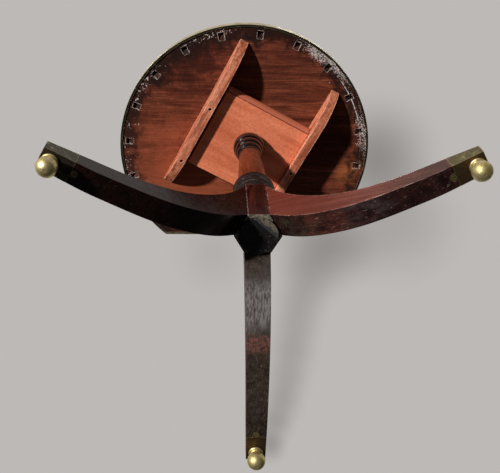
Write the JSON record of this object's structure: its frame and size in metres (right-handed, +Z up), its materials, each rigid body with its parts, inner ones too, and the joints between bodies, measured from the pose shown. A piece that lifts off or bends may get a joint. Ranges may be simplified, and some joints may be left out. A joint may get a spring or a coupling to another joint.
{
  "type": "tripod table",
  "caption": "Tilt-top tripod table: round top with a straight side and brass edging, ring-turned column, sabre legs with brass ends and ball feet.",
  "frame": {"origin": "middle of the part's footprint box, on the floor; the column's axis is 62 mm in front of it, at x = 0, y = 0.062", "axes": "+Z up; the single front leg points along -Y, below the straight side of the top, and the other two legs point to +X and -X, each 30 degrees towards +Y"},
  "size_m": [0.72, 0.6859, 0.72],
  "materials": {
    "top_mahogany": "old wax polish, dry underneath",
    "old_mahogany": "dark polished mahogany, worn",
    "new_mahogany": "newer, paler mahogany, oiled",
    "ebonised_wood": "black polish",
    "brass": "cast brass, dulled",
    "steel": "old wood screws"
  },
  "bodies": {
    "base": {"hub": "old_mahogany", "base_boss": "ebonised_wood", "lower_collar": "ebonised_wood", "column_shaft": "old_mahogany", "upper_collar": "ebonised_wood", "tenon_wedge": "new_mahogany", "pivot_block": "new_mahogany", "pivot_pin_left": "new_mahogany", "pivot_pin_right": "new_mahogany", "catch_keeper": "brass", "catch_keeper_screws": "brass", "sabot_screws": "brass", "leg_left": "old_mahogany", "sabot_left": "brass", "ball_foot_left": "brass", "leg_right": "old_mahogany", "sabot_right": "brass", "ball_foot_right": "brass", "leg_front": "old_mahogany", "sabot_front": "brass", "ball_foot_front": "brass"},
    "top": {"top_board": "top_mahogany", "rim_arc": "brass", "rim_straight": "brass", "rim_screws": "steel", "batten_left": "new_mahogany", "batten_right": "new_mahogany", "batten_screws": "steel", "catch_plate": "brass", "catch_plate_screws": "brass"},
    "catch_bolt": {"catch_bolt": "brass"}
  },
  "joints": [
    {"name": "top_tilt", "type": "hinge", "parent": "base", "child": "top", "pos_m": [-0.04108, 0.13926, 0.6832], "axis": [-0.8829, -0.4695, 0], "range_deg": [0, 90]},
    {"name": "catch_slide", "type": "slide", "parent": "top", "child": "catch_bolt", "axis": [-0.4695, 0.8829, 0], "range_m": [0, 0.01]}
  ]
}
